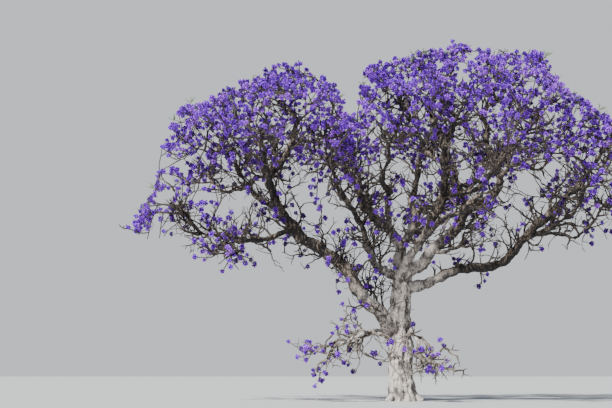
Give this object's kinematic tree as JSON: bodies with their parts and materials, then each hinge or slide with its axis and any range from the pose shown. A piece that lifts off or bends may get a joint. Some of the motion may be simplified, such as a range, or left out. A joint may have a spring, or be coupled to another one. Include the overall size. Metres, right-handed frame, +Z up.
{
  "type": "jacaranda tree",
  "caption": "Wide jacaranda tree in full violet blossom, with a low fork, a short flared trunk, sinuous boughs and a two-domed open crown.",
  "frame": {"origin": "middle of the flat cut under the trunk, at ground level", "axes": "+X to the right along the crown's widest spread, +Y away from the viewer, +Z up"},
  "size_m": [21.8847, 15.9254, 15.1771],
  "materials": {
    "bark": "rough grey-brown bark with fine upright furrows",
    "blossom": "soft matte violet-blue petals in loose clusters"
  },
  "bodies": {
    "root": {"back_bank": "bark", "back_bank_blossom": "blossom", "back_low": "bark", "back_low_blossom": "blossom", "back_skirt": "bark", "back_skirt_blossom": "blossom", "centre": "bark", "centre_back": "bark", "centre_back_blossom": "blossom", "centre_blossom": "blossom", "centre_front": "bark", "centre_front_blossom": "blossom", "front_low": "bark", "front_low_blossom": "blossom", "left_back": "bark", "left_back_blossom": "blossom", "left_far": "bark", "left_far_blossom": "blossom", "left_front": "bark", "left_front_blossom": "blossom", "left_hang": "bark", "left_hang_blossom": "blossom", "left_inner": "bark", "left_inner_blossom": "blossom", "left_leader": "bark", "left_low": "bark", "left_low_blossom": "blossom", "left_rear": "bark", "left_rear_blossom": "blossom", "left_top": "bark", "left_top_blossom": "blossom", "low_left": "bark", "low_left_blossom": "blossom", "low_right": "bark", "low_right_blossom": "blossom", "right_back": "bark", "right_back_blossom": "blossom", "right_bank": "bark", "right_bank_blossom": "blossom", "right_crest": "bark", "right_crest_blossom": "blossom", "right_edge": "bark", "right_edge_blossom": "blossom", "right_far": "bark", "right_far_blossom": "blossom", "right_front": "bark", "right_front_blossom": "blossom", "right_inner": "bark", "right_inner_blossom": "blossom", "right_leader": "bark", "right_leader_blossom": "blossom", "right_left": "bark", "right_left_blossom": "blossom", "right_low_leader": "bark", "right_shoulder": "bark", "right_shoulder_blossom": "blossom", "right_skirt": "bark", "right_skirt_blossom": "blossom", "trunk": "bark"}
  },
  "joints": []
}
